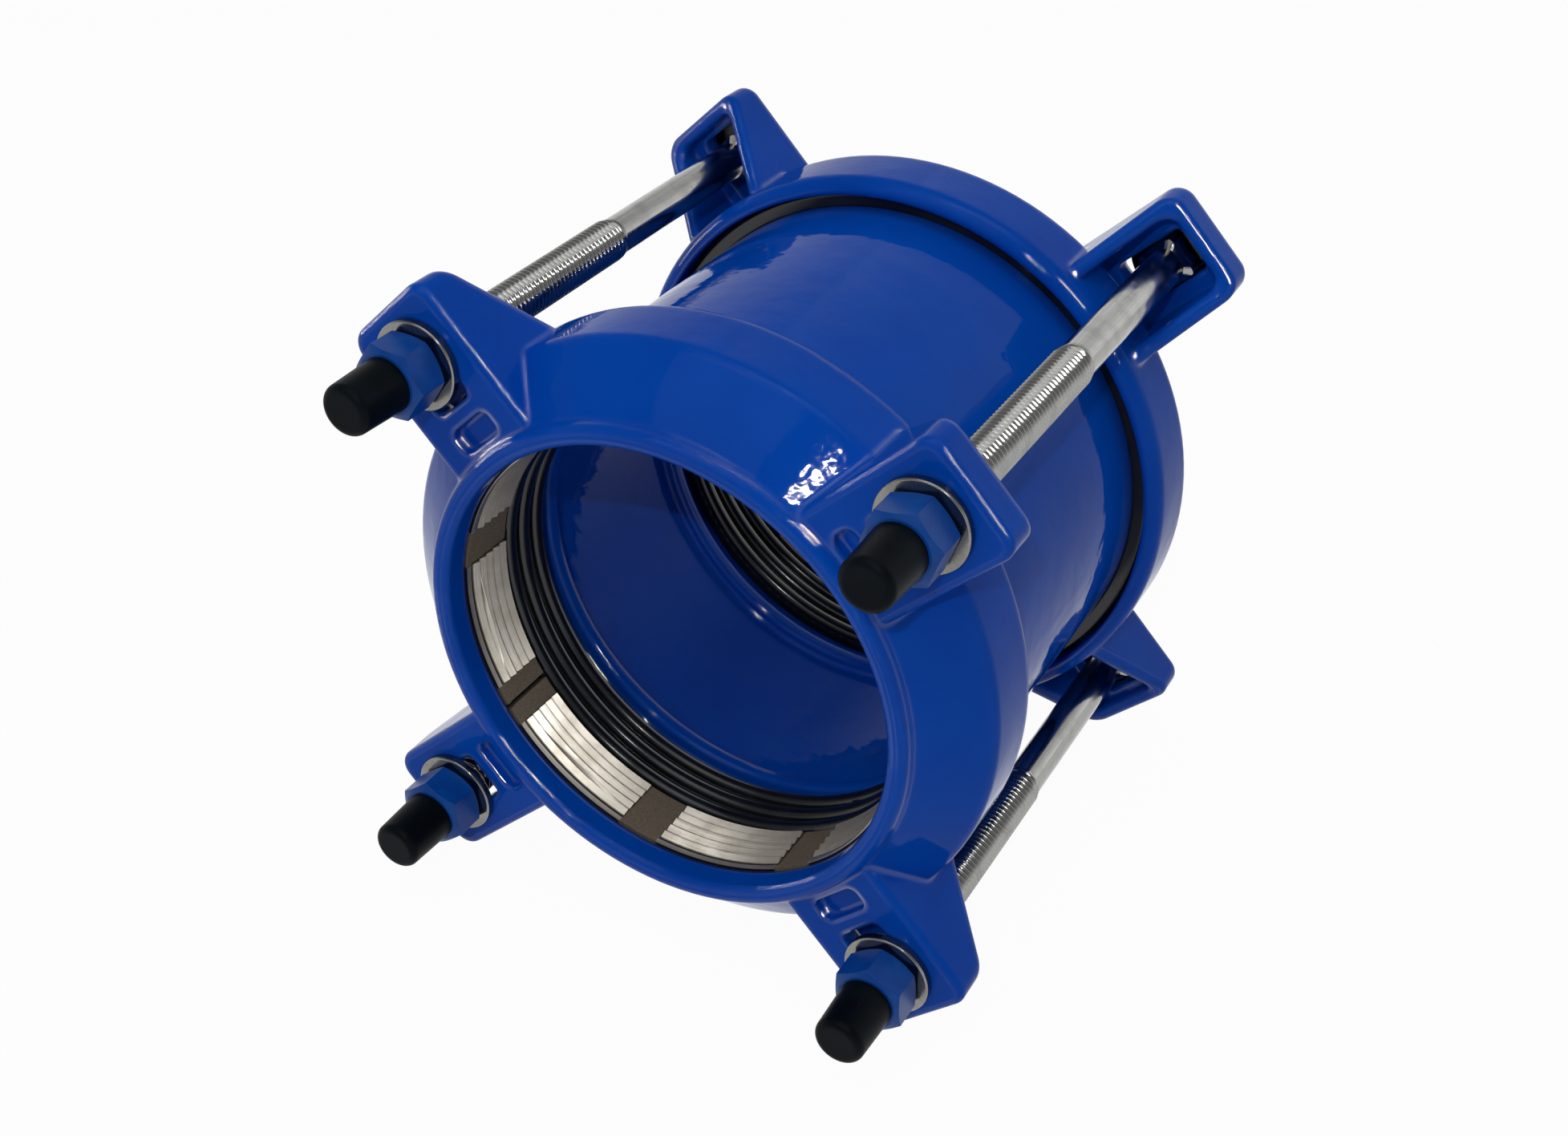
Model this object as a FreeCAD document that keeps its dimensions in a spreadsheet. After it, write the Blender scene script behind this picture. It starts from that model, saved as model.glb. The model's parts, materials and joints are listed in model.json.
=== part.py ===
import FreeCAD, Part
import math
import os
import Sketcher

# Restrained pipe coupling for a 125 mm plastic pipe: a plain sleeve, two lugged
# end rings drawn together by four bolts, and in each end a rubber gasket and a
# split toothed grip ring. Millimetres. The coupling's axis is Y, the nuts are at
# the low Y end, Z is up, and the origin is on the axis halfway along the sleeve.

SIZES = [
    # the two sizes that the rest follows, and what stands between them and the pipe
    ("skirt_radius", 86.0, "outside of the skirts"),
    ("bolt_length", 185.0, "bolts from under the head to the tip"),
    ("mouth_step", 5.5, "bore of the sleeve over the bore of the mouths"),
    ("running_gap", 0.3, "gasket to end ring and grip ring"),
    # end ring casting
    ("skirt_wall", 4.6, "wall of the skirt"),
    ("skirt_over", 4.5, "skirt past the edge of the gasket"),
    ("mouth_round", 4.2, "round at the mouth of the skirt"),
    ("shoulder_depth", 14.35, "lug face to the corner of cone and skirt"),
    ("shoulder_round", 3.0, "round of that corner"),
    ("cone_wall", 6.0, "wall of the cone"),
    ("cone_start", 0.1, "lug face to the foot of the lip"),
    ("land_depth", 4.9, "lug face to the inner end of the bore"),
    ("lip_wall", 5.5, "wall of the rounded lip"),
    ("lip_rise", 3.0, "lip above the lug faces"),
    ("lip_round", 2.2, "outer round of the lip"),
    ("lip_inner_round", 1.8, "round into the bore"),
    ("lip_foot_round", 1.5, "hollow at the foot of the lip"),
    # lugs
    ("lug_count", 4, "lugs on each end ring"),
    ("lug_angle", 45.0, "angle of the first lug above X"),
    ("lug_length", 27.0, "reach of a lug past the skirt"),
    ("lug_width", 33.0, "width over a lug"),
    ("lug_plate", 5.75, "thickness of the plate under the washer"),
    ("lug_wall", 4.5, "walls round the pocket"),
    ("lug_corner", 5.5, "corners of a lug"),
    ("pocket_corner", 4.0, "corners of the pocket"),
    ("rim_end_depth", 10.0, "depth of the walls at the lug's end"),
    ("rim_root_depth", 28.5, "depth of the walls at the skirt"),
    ("edge_round", 2.0, "outer edges of a lug"),
    ("rim_round", 2.0, "inner edge of the pocket's rim"),
    ("slot_margin", 6.5, "end of a lug to its bolt slot"),
    ("slot_length", 23.0, "length of the bolt slot"),
    ("slot_side", 0.9, "bolt slot to each side of the bolt"),
    ("slot_corner", 2.0, "corners of the bolt slot"),
    ("dimple_gap", 2.0, "lip to the dimple in a lug's face"),
    ("dimple_length", 7.0, "length of the dimple"),
    ("dimple_width", 15.5, "width of the dimple"),
    ("dimple_depth", 3.0, "depth of the dimple"),
    ("dimple_corner", 2.5, "corners of the dimple"),
    # sleeve
    ("sleeve_wall", 6.5, "wall of the sleeve"),
    ("socket_depth", 18.2, "end of the sleeve to its stop ridge"),
    ("socket_draft", 1.5, "a socket's mouth over its bottom, on radius"),
    ("ridge_height", 4.0, "height of a stop ridge"),
    ("ridge_width", 4.9, "width of a ridge"),
    ("ridge_round", 1.2, "edges of a ridge"),
    ("sleeve_chamfer", 1.0, "outer edge of the sleeve's ends"),
    # gasket
    ("gasket_wall", 4.5, "gasket over the outside of the sleeve"),
    ("gasket_face", 4.7, "gasket in front of the sleeve's end"),
    ("gasket_depth", 13.6, "reach of the gasket into the sleeve"),
    ("gasket_skirt", 3.5, "reach of the gasket over the sleeve"),
    ("gasket_clear", 1.5, "inside of the gasket over the bore of the mouths"),
    ("rib_count", 3, "sealing ribs"),
    ("rib_radius", 2.4, "section of a rib"),
    ("rib_pitch", 6.2, "rib to rib"),
    ("rib_start", -1.5, "first rib, from the end of the sleeve"),
    ("gasket_edge", 1.5, "rounded edges of the gasket"),
    ("rubber_fit", 0.1, "gasket to sleeve"),
    # grip ring
    ("grip_gap", 0.6, "bore of the mouth to the front of the grip ring"),
    ("grip_length", 17.0, "length of the grip ring"),
    ("grip_wall", 10.6, "thickness of the grip ring behind its cone"),
    ("grip_fit", 0.1, "cone of the grip ring to the end ring"),
    ("pad_height", 0.1, "plain pads and tooth roots inside the bore of the mouth"),
    ("tooth_height", 1.0, "tooth crests above the pads"),
    ("band_height", 0.5, "front band above the pads"),
    ("band_width", 1.4, "width of the front band"),
    ("tooth_count", 5, "rows of teeth"),
    ("tooth_start", 2.1, "front of the ring to the first row"),
    ("tooth_pitch", 2.95, "row to row"),
    ("tooth_land", 2.45, "sloped face of a tooth"),
    ("tooth_back", 0.15, "steep face of a tooth"),
    ("pad_count", 8, "plain pads between the toothed runs"),
    ("pad_angle", 11.0, "angle that a pad takes"),
    ("grip_turn", 214.3, "angle of the split above X"),
    ("split_width", 1.4, "split through the ring"),
    # bolts
    ("thread_radius", 6.0, "major radius of the thread"),
    ("thread_depth", 0.65, "thread above the plain shank"),
    ("thread_length", 111.5, "length of the thread"),
    ("bolt_reach", 12.7, "thread past the nut"),
    ("bolt_chamfer", 1.2, "tip of the thread"),
    ("neck_length", 8.0, "length of the square neck, as wide as the thread"),
    ("neck_corner", 1.2, "corners of the neck"),
    ("neck_gap", 3.3, "neck to the outer end of its slot"),
    ("head_radius", 13.0, "cup head"),
    ("head_height", 6.9, "height of the head"),
    ("head_round", 5.0, "round of the head"),
    # washers, nuts and caps
    ("washer_radius", 12.0, "outside of a washer"),
    ("washer_clear", 0.5, "bore of a washer over the thread"),
    ("washer_thickness", 2.5, "thickness of a washer"),
    ("washer_edge", 0.5, "edges of a washer"),
    ("nut_flats", 18.0, "across the flats of a nut"),
    ("nut_height", 10.8, "height of a nut"),
    ("nut_chamfer", 1.0, "chamfer circle inside the flats"),
    ("thread_fit", 0.05, "nut and cap over the thread"),
    ("countersink", 0.7, "mouths of the nut's bore"),
    ("cap_wall", 1.25, "wall of a cap at the nut"),
    ("cap_draft", 0.5, "a cap's base over its end, on radius"),
    ("cap_round", 2.0, "rounded end of a cap"),
    ("cap_top", 1.8, "thickness of the cap's end"),
    ("cap_space", 1.3, "tip of the bolt to the inside of the cap's end"),
]

AXIS_CLEAR = 1.0
NUT_TURNS = (48.0, 63.0, 21.0, 25.0)
CHAMFER_SLOPE = 0.577

doc = FreeCAD.newDocument("coupling")
sheet = doc.addObject("Spreadsheet::Sheet", "Sizes")
for row, (alias, number, note) in enumerate(SIZES, start=1):
    sheet.set(f"A{row}", alias)
    sheet.set(f"B{row}", str(number))
    sheet.set(f"C{row}", note)
    sheet.setAlias(f"B{row}", alias)
doc.recompute()


class Size:
    """A length together with the sheet expression that gives it."""

    def __init__(self, text, value):
        self.text = text
        self.value = value

    def __add__(self, other):
        other = as_size(other)
        return Size(f"({self.text} + {other.text})", self.value + other.value)

    def __sub__(self, other):
        other = as_size(other)
        return Size(f"({self.text} - {other.text})", self.value - other.value)

    def __mul__(self, other):
        other = as_size(other)
        return Size(f"({self.text} * {other.text})", self.value * other.value)

    def __truediv__(self, other):
        other = as_size(other)
        return Size(f"({self.text} / {other.text})", self.value / other.value)

    def __radd__(self, other):
        return as_size(other) + self

    def __rsub__(self, other):
        return as_size(other) - self

    def __rmul__(self, other):
        return as_size(other) * self

    def __rtruediv__(self, other):
        return as_size(other) / self

    def __neg__(self):
        return as_size(0) - self


def as_size(number):
    if isinstance(number, Size):
        return number
    return Size(f"({float(number)})", float(number))


def root(size):
    return Size(f"sqrt({size.text})", math.sqrt(size.value))


def cosine(size):
    return Size(f"cos({size.text})", math.cos(math.radians(size.value)))


def sine(size):
    return Size(f"sin({size.text})", math.sin(math.radians(size.value)))


def of(alias):
    """The sheet's size of that name."""
    return Size(f"Sizes.{alias}", float(sheet.get(alias)))


def bind(thing, path, size):
    """Gives a property its value and ties it to the sheet."""
    size = as_size(size)
    thing.setExpression(path, size.text)


def origin_part(body, role):
    for feature in body.Origin.OriginFeatures:
        if feature.Role == role:
            return feature
    raise ValueError(role)


def new_body(label):
    body = doc.addObject("PartDesign::Body", label)
    body.Label = label
    return body


def new_sketch(body, name, plane, offset=None, turn=None):
    """A sketch on one of its body's planes, lifted off it or turned about its own upright axis."""
    sketch = body.newObject("Sketcher::SketchObject", f"{body.Name}_{name}")
    sketch.AttachmentSupport = [(origin_part(body, plane), "")]
    sketch.MapMode = "FlatFace"
    if offset is not None:
        bind(sketch, "AttachmentOffset.Base.z", offset)
    if turn is not None:
        sketch.AttachmentOffset = FreeCAD.Placement(
            FreeCAD.Vector(), FreeCAD.Rotation(FreeCAD.Vector(0, 1, 0), turn.value)
        )
        bind(sketch, "AttachmentOffset.Rotation.Angle", turn)
    return sketch


def fix_point(sketch, geometry, position, place, name):
    """Ties a point of the sketch to the sketch's origin."""
    for kind, axis, size in (("DistanceX", -2, place[0]), ("DistanceY", -1, place[1])):
        size = as_size(size)
        if size.value == 0:
            sketch.addConstraint(Sketcher.Constraint("PointOnObject", geometry, position, axis))
            continue
        index = sketch.addConstraint(
            Sketcher.Constraint(kind, -1, 1, geometry, position, size.value)
        )
        label = f"{name}_{kind[-1].lower()}"
        sketch.renameConstraint(index, label)
        bind(sketch, f"Constraints.{label}", size)


def outline(sketch, corners):
    """A closed outline through corners (x, y) or (x, y, radius of a round)."""
    points = [FreeCAD.Vector(as_size(c[0]).value, as_size(c[1]).value, 0) for c in corners]
    count = len(points)
    starts = []
    ends = []
    arcs = []
    for i, corner in enumerate(corners):
        before = (points[i - 1] - points[i]).normalize()
        after = (points[(i + 1) % count] - points[i]).normalize()
        if len(corner) < 3:
            starts.append(points[i])
            ends.append(points[i])
            arcs.append(None)
            continue
        radius = corner[2].value
        half = before.getAngle(after) / 2
        reach = radius / math.tan(half)
        middle = points[i] + (before + after).normalize() * (radius / math.sin(half))
        starts.append(points[i] + after * reach)
        ends.append(points[i] + before * reach)
        arcs.append((middle, radius, (-before).cross(after).z > 0))
    lines = []
    for i in range(count):
        lines.append(sketch.addGeometry(Part.LineSegment(starts[i], ends[(i + 1) % count]), False))
    for i, corner in enumerate(corners):
        incoming = lines[i - 1]
        outgoing = lines[i]
        if arcs[i] is None:
            sketch.addConstraint(Sketcher.Constraint("Coincident", incoming, 2, outgoing, 1))
            fix_point(sketch, outgoing, 1, corner, f"corner{i}")
            continue
        middle, radius, left = arcs[i]
        first = ends[i] if left else starts[i]
        last = starts[i] if left else ends[i]
        turns = [math.atan2(p.y - middle.y, p.x - middle.x) for p in (first, last)]
        circle = Part.Circle(middle, FreeCAD.Vector(0, 0, 1), radius)
        arc = sketch.addGeometry(Part.ArcOfCircle(circle, turns[0], turns[1]), False)
        sharp = sketch.addGeometry(Part.Point(points[i]), True)
        fix_point(sketch, sharp, 1, corner, f"corner{i}")
        sketch.addConstraint(Sketcher.Constraint("PointOnObject", sharp, 1, incoming))
        sketch.addConstraint(Sketcher.Constraint("PointOnObject", sharp, 1, outgoing))
        near, far = (1, 2) if left else (2, 1)
        sketch.addConstraint(Sketcher.Constraint("Tangent", incoming, 2, arc, near))
        sketch.addConstraint(Sketcher.Constraint("Tangent", outgoing, 1, arc, far))
        index = sketch.addConstraint(Sketcher.Constraint("Radius", arc, radius))
        sketch.renameConstraint(index, f"round{i}")
        bind(sketch, f"Constraints.round{i}", corner[2])


def disc(sketch, x, y, radius):
    """A circle in the sketch."""
    centre = FreeCAD.Vector(as_size(x).value, as_size(y).value, 0)
    circle = Part.Circle(centre, FreeCAD.Vector(0, 0, 1), radius.value)
    index = sketch.addGeometry(circle, False)
    fix_point(sketch, index, 3, (x, y), "centre")
    radius_index = sketch.addConstraint(Sketcher.Constraint("Radius", index, radius.value))
    sketch.renameConstraint(radius_index, "radius")
    bind(sketch, "Constraints.radius", radius)


def feature(body, kind, name, sketch, **values):
    """A feature made from a sketch, with plain values set and sizes bound."""
    made = body.newObject(f"PartDesign::{kind}", f"{body.Name}_{name}")
    made.Profile = sketch
    sketch.Visibility = False
    if kind in ("Revolution", "Groove"):
        made.ReferenceAxis = (sketch, ["V_Axis"])
    for key, value in values.items():
        if isinstance(value, Size):
            bind(made, key, value)
        else:
            setattr(made, key, value)
    doc.recompute()
    return made


def cut(body, kind, name, sketch, **values):
    """A feature that takes material away: it has to change the volume."""
    before = body.Tip.Shape.Volume
    made = feature(body, kind, name, sketch, **values)
    if not made.Shape.Volume < before - 0.01:
        raise ValueError(f"{made.Name} cuts nothing")
    return made


def polar(body, name, count, originals=None):
    """Copies round the coupling's axis, of some features or of all that the body holds so far."""
    pattern = body.newObject("PartDesign::PolarPattern", f"{body.Name}_{name}")
    if originals is None:
        pattern.TransformMode = "Whole shape"
    else:
        pattern.Originals = originals
    pattern.Axis = (origin_part(body, "Y_Axis"), [""])
    pattern.Angle = 360
    bind(pattern, "Occurrences", count)
    body.Tip = pattern
    doc.recompute()
    return pattern


def round_edges(body, name, radius, wanted):
    """Rounds each edge of the body whose points all lie where they are wanted."""
    base = body.Tip
    names = []
    for i, edge in enumerate(base.Shape.Edges, start=1):
        points = edge.discretize(5)
        if all(wanted(p) for p in points):
            names.append(f"Edge{i}")
    if not names:
        raise ValueError(f"{body.Name} has no edge for {name}")
    made = body.newObject("PartDesign::Fillet", f"{body.Name}_{name}")
    made.Base = (base, names)
    bind(made, "Radius", radius)
    doc.recompute()
    return made


def near(a, b):
    return abs(a - b) < 0.01


def stand(body, x, y, z, rotation):
    """Places a body, each coordinate tied to the sheet."""
    body.Placement = FreeCAD.Placement(FreeCAD.Vector(0, 0, 0), rotation)
    for letter, size in zip("xyz", (x, y, z)):
        bind(body, f"Placement.Base.{letter}", size)


def turned(degrees):
    return FreeCAD.Rotation(FreeCAD.Vector(0, 1, 0), degrees)


# The rear pieces are the front ones turned half round about the upright axis.
HALF_TURN = FreeCAD.Rotation(FreeCAD.Vector(0, 0, 1), 180)
ENDS = (("front", -1, FreeCAD.Rotation()), ("rear", 1, HALF_TURN))

# Radii, from the skirt inwards through gasket and sleeve to the mouths, and out to the lugs.
cavity_radius = of("skirt_radius") - of("skirt_wall")
gasket_outer = cavity_radius - of("running_gap")
gasket_over = gasket_outer - of("gasket_wall")
sleeve_radius = gasket_over - of("rubber_fit")
sleeve_bore = sleeve_radius - of("sleeve_wall")
bore_radius = sleeve_bore - of("mouth_step")
lip_radius = bore_radius + of("lip_wall")
pad_radius = bore_radius - of("pad_height")
lug_reach = of("skirt_radius") + of("lug_length")
slot_outer = lug_reach - of("slot_margin")
bolt_circle = slot_outer - of("neck_gap") - of("thread_radius")

# Places along the axis: the lug faces from the bolts, and what lies behind a lug face.
nut_stack = of("washer_thickness") + of("nut_height") + of("bolt_reach")
ring_seat = (of("bolt_length") - nut_stack) / 2
grip_front = of("land_depth") + of("grip_gap")
grip_back = grip_front + of("grip_length")
gasket_start = grip_back + of("running_gap")
sleeve_depth = gasket_start + of("gasket_face")
ring_depth = sleeve_depth + of("gasket_skirt") + of("skirt_over")
sleeve_end = ring_seat - sleeve_depth

cone_run = of("skirt_radius") - lip_radius
cone_drop = of("shoulder_depth") - of("cone_start")
cone_length = root(cone_run * cone_run + cone_drop * cone_drop)


def cone_radius(depth, wall):
    """Radius, at a depth below the lug face, of the cone's surface that far inside its outer one."""
    start = lip_radius - cone_length * wall / cone_drop
    return start + (depth - of("cone_start")) * cone_run / cone_drop


def cone_depth(radius, wall):
    """Depth at which that surface has the radius."""
    start = lip_radius - cone_length * wall / cone_drop
    return of("cone_start") + (radius - start) * cone_drop / cone_run


def make_end_ring(label):
    """Casting with its lug face at y = 0, the first lug on X and the skirt towards +Y."""
    body = new_body(label)
    half = of("lug_width") / 2
    inside = bore_radius + AXIS_CLEAR
    fall = (of("rim_root_depth") - of("rim_end_depth")) / of("lug_length")
    root_depth = of("rim_root_depth") + of("skirt_wall") * fall

    side = new_sketch(body, "lug_side", "XY_Plane")
    outline(
        side,
        [
            (inside, 0),
            (lug_reach, 0),
            (lug_reach, of("rim_end_depth")),
            (cavity_radius, root_depth),
            (inside, root_depth),
        ],
    )
    feature(body, "Pad", "lug", side, Length=of("lug_width"), Midplane=True)
    reach = lug_reach.value
    round_edges(
        body,
        "lug_corners",
        of("lug_corner"),
        lambda p: near(p.x, reach) and near(abs(p.z), half.value),
    )
    start = inside.value

    def on_rim(p):
        return near(p.y, of("rim_end_depth").value + (reach - p.x) * fall.value)

    round_edges(
        body,
        "lug_edges",
        of("edge_round"),
        lambda p: (near(p.y, 0) and p.x > start - 1 and not near(p.x, start)) or on_rim(p),
    )

    pocket_half = half - of("lug_wall")
    pocket_end = lug_reach - of("lug_wall")
    pocket = new_sketch(body, "pocket_plan", "XZ_Plane", offset=-of("lug_plate"))
    outline(
        pocket,
        [
            (bore_radius, -pocket_half),
            (pocket_end, -pocket_half, of("pocket_corner")),
            (pocket_end, pocket_half, of("pocket_corner")),
            (bore_radius, pocket_half),
        ],
    )
    cut(body, "Pocket", "pocket", pocket, Type="ThroughAll")
    round_edges(
        body,
        "rim_edges",
        of("rim_round"),
        lambda p: on_rim(p)
        and abs(p.z) < pocket_half.value + 0.01
        and cavity_radius.value + 0.01 < p.x < pocket_end.value + 0.01,
    )

    slot = new_sketch(body, "slot_plan", "XZ_Plane")
    slot_start = slot_outer - of("slot_length")
    slot_half = of("thread_radius") + of("slot_side")
    outline(
        slot,
        [
            (slot_start, -slot_half, of("slot_corner")),
            (slot_outer, -slot_half, of("slot_corner")),
            (slot_outer, slot_half, of("slot_corner")),
            (slot_start, slot_half, of("slot_corner")),
        ],
    )
    cut(body, "Pocket", "slot", slot, Type="ThroughAll")
    polar(body, "lugs", of("lug_count"))

    shell = new_sketch(body, "ring_section", "XY_Plane")
    outline(
        shell,
        [
            (0, -of("lip_rise")),
            (lip_radius, -of("lip_rise"), of("lip_round")),
            (lip_radius, of("cone_start"), of("lip_foot_round")),
            (of("skirt_radius"), of("shoulder_depth"), of("shoulder_round")),
            (of("skirt_radius"), ring_depth, of("mouth_round")),
            (0, ring_depth),
        ],
    )
    feature(body, "Revolution", "ring", shell, Angle=360)

    hollow = new_sketch(body, "hollow_section", "XY_Plane")
    outline(
        hollow,
        [
            (0, -of("lip_rise") - AXIS_CLEAR),
            (bore_radius, -of("lip_rise") - AXIS_CLEAR),
            (bore_radius, of("land_depth")),
            (cone_radius(of("land_depth"), of("cone_wall")), of("land_depth")),
            (cavity_radius, cone_depth(cavity_radius, of("cone_wall"))),
            (cavity_radius, ring_depth + AXIS_CLEAR),
            (0, ring_depth + AXIS_CLEAR),
        ],
    )
    cut(body, "Groove", "hollow", hollow, Angle=360)

    dimple = new_sketch(body, "dimple_plan", "XZ_Plane")
    dimple_half = of("dimple_width") / 2
    dimple_start = lip_radius + of("dimple_gap")
    dimple_end = dimple_start + of("dimple_length")
    outline(
        dimple,
        [
            (dimple_start, -dimple_half, of("dimple_corner")),
            (dimple_end, -dimple_half, of("dimple_corner")),
            (dimple_end, dimple_half, of("dimple_corner")),
            (dimple_start, dimple_half, of("dimple_corner")),
        ],
    )
    first = cut(body, "Pocket", "dimple", dimple, Length=of("dimple_depth"))
    polar(body, "dimples", of("lug_count"), [first])

    bore = bore_radius.value
    rise = of("lip_rise").value
    round_edges(
        body,
        "lip_edge",
        of("lip_inner_round"),
        lambda p: near(p.y, -rise) and near(math.hypot(p.x, p.z), bore),
    )
    return body


def make_sleeve(label):
    """Plain tube with two inner stop ridges and a socket outside each."""
    body = new_body(label)
    ridge_end = sleeve_end - of("socket_depth")
    ridge_start = ridge_end - of("ridge_width")
    ridge_radius = sleeve_bore - of("ridge_height")
    edge = sleeve_radius - of("sleeve_chamfer")
    upper = [
        (sleeve_radius, sleeve_end - of("sleeve_chamfer")),
        (edge, sleeve_end),
        (sleeve_bore + of("socket_draft"), sleeve_end),
        (sleeve_bore, ridge_end),
        (ridge_radius, ridge_end, of("ridge_round")),
        (ridge_radius, ridge_start, of("ridge_round")),
        (sleeve_bore, ridge_start, of("ridge_round")),
    ]
    lower = [(c[0], -c[1], *c[2:]) for c in reversed(upper)]
    section = new_sketch(body, "section", "XY_Plane")
    outline(section, upper + lower)
    feature(body, "Revolution", "tube", section, Angle=360)
    return body


def make_gasket(label):
    """Rubber ring with the end of the sleeve at y = 0: a lipped flange in front and ribs inside."""
    body = new_body(label)
    inside = bore_radius + of("gasket_clear")
    front = -of("gasket_face")
    mouth = sleeve_bore + of("socket_draft") - of("rubber_fit")
    tail = mouth - of("gasket_depth") * of("socket_draft") / of("socket_depth")
    section = new_sketch(body, "section", "XY_Plane")
    outline(
        section,
        [
            (inside, front),
            (gasket_outer, front, of("gasket_edge")),
            (gasket_outer, of("gasket_skirt"), of("gasket_edge")),
            (gasket_over, of("gasket_skirt")),
            (gasket_over, 0),
            (mouth, 0),
            (tail, of("gasket_depth"), of("gasket_edge")),
            (inside, of("gasket_depth"), of("gasket_edge")),
        ],
    )
    feature(body, "Revolution", "ring", section, Angle=360)
    rib = new_sketch(body, "rib_section", "XY_Plane")
    disc(rib, inside, of("rib_start"), of("rib_radius"))
    first = feature(body, "Revolution", "rib", rib, Angle=360)
    pattern = body.newObject("PartDesign::LinearPattern", f"{body.Name}_ribs")
    pattern.Originals = [first]
    pattern.Direction = (origin_part(body, "Y_Axis"), [""])
    bind(pattern, "Length", of("rib_pitch") * (of("rib_count") - 1))
    bind(pattern, "Occurrences", of("rib_count"))
    body.Tip = pattern
    doc.recompute()
    return body


def make_grip_ring(label):
    """Split brass wedge ring in the end ring's own frame, its split on X."""
    body = new_body(label)
    wall = of("cone_wall") + of("grip_fit")
    outer = pad_radius + of("grip_wall")
    crest = pad_radius - of("tooth_height")
    band = pad_radius - of("band_height")
    band_end = grip_front + of("band_width")
    section = new_sketch(body, "section", "XY_Plane")
    outline(
        section,
        [
            (band, grip_front),
            (cone_radius(grip_front, wall), grip_front),
            (outer, cone_depth(outer, wall)),
            (outer, grip_back),
            (pad_radius, grip_back),
            (pad_radius, band_end),
            (band, band_end),
        ],
    )
    feature(body, "Revolution", "wedge", section, Angle=360)

    pitch_angle = 360 / of("pad_count")
    tooth = new_sketch(body, "tooth_section", "XY_Plane", turn=pitch_angle / 2)
    tooth_front = grip_front + of("tooth_start")
    tooth_end = tooth_front + of("tooth_land") + of("tooth_back")
    outline(
        tooth,
        [
            (pad_radius + AXIS_CLEAR, tooth_front),
            (pad_radius + AXIS_CLEAR, tooth_end),
            (pad_radius, tooth_end),
            (crest, tooth_front + of("tooth_land")),
            (pad_radius, tooth_front),
        ],
    )
    first = feature(
        body, "Revolution", "tooth", tooth, Angle=pitch_angle - of("pad_angle"), Midplane=True
    )
    rows = body.newObject("PartDesign::LinearPattern", f"{body.Name}_rows")
    rows.Direction = (origin_part(body, "Y_Axis"), [""])
    bind(rows, "Length", of("tooth_pitch") * (of("tooth_count") - 1))
    bind(rows, "Occurrences", of("tooth_count"))
    runs = body.newObject("PartDesign::PolarPattern", f"{body.Name}_runs")
    runs.Axis = (origin_part(body, "Y_Axis"), [""])
    runs.Angle = 360
    bind(runs, "Occurrences", of("pad_count"))
    teeth = body.newObject("PartDesign::MultiTransform", f"{body.Name}_teeth")
    teeth.Originals = [first]
    teeth.Transformations = [rows, runs]
    body.Tip = teeth
    doc.recompute()

    split = new_sketch(body, "split_side", "XY_Plane")
    outline(
        split,
        [
            (crest - AXIS_CLEAR, grip_front - AXIS_CLEAR),
            (outer + AXIS_CLEAR, grip_front - AXIS_CLEAR),
            (outer + AXIS_CLEAR, grip_back + AXIS_CLEAR),
            (crest - AXIS_CLEAR, grip_back + AXIS_CLEAR),
        ],
    )
    cut(body, "Pocket", "split", split, Length=of("split_width"), Midplane=True)
    return body


def make_bolt(label):
    """Cup head square neck bolt, under-head face at y = 0 and the thread towards -Y."""
    body = new_body(label)
    tip = -of("bolt_length")
    thread_end = tip + of("thread_length")
    shank = of("thread_radius") - of("thread_depth")
    section = new_sketch(body, "section", "XY_Plane")
    outline(
        section,
        [
            (0, tip),
            (of("thread_radius") - of("bolt_chamfer"), tip),
            (of("thread_radius"), tip + of("bolt_chamfer")),
            (of("thread_radius"), thread_end - of("bolt_chamfer") / 2),
            (shank, thread_end),
            (shank, 0),
            (of("head_radius"), 0),
            (of("head_radius"), of("head_height"), of("head_round")),
            (0, of("head_height")),
        ],
    )
    feature(body, "Revolution", "turned", section, Angle=360)
    neck = new_sketch(body, "neck_plan", "XZ_Plane")
    side = of("thread_radius")
    outline(
        neck,
        [
            (-side, -side, of("neck_corner")),
            (side, -side, of("neck_corner")),
            (side, side, of("neck_corner")),
            (-side, side, of("neck_corner")),
        ],
    )
    feature(body, "Pad", "neck", neck, Length=of("neck_length"))
    return body


def make_washer(label):
    """Flat washer from y = 0 outwards."""
    body = new_body(label)
    edge = of("washer_edge")
    bore = of("thread_radius") + of("washer_clear")
    section = new_sketch(body, "section", "XY_Plane")
    outline(
        section,
        [
            (bore, 0),
            (of("washer_radius"), 0, edge),
            (of("washer_radius"), -of("washer_thickness"), edge),
            (bore, -of("washer_thickness"), edge),
        ],
    )
    feature(body, "Revolution", "ring", section, Angle=360)
    return body


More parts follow.
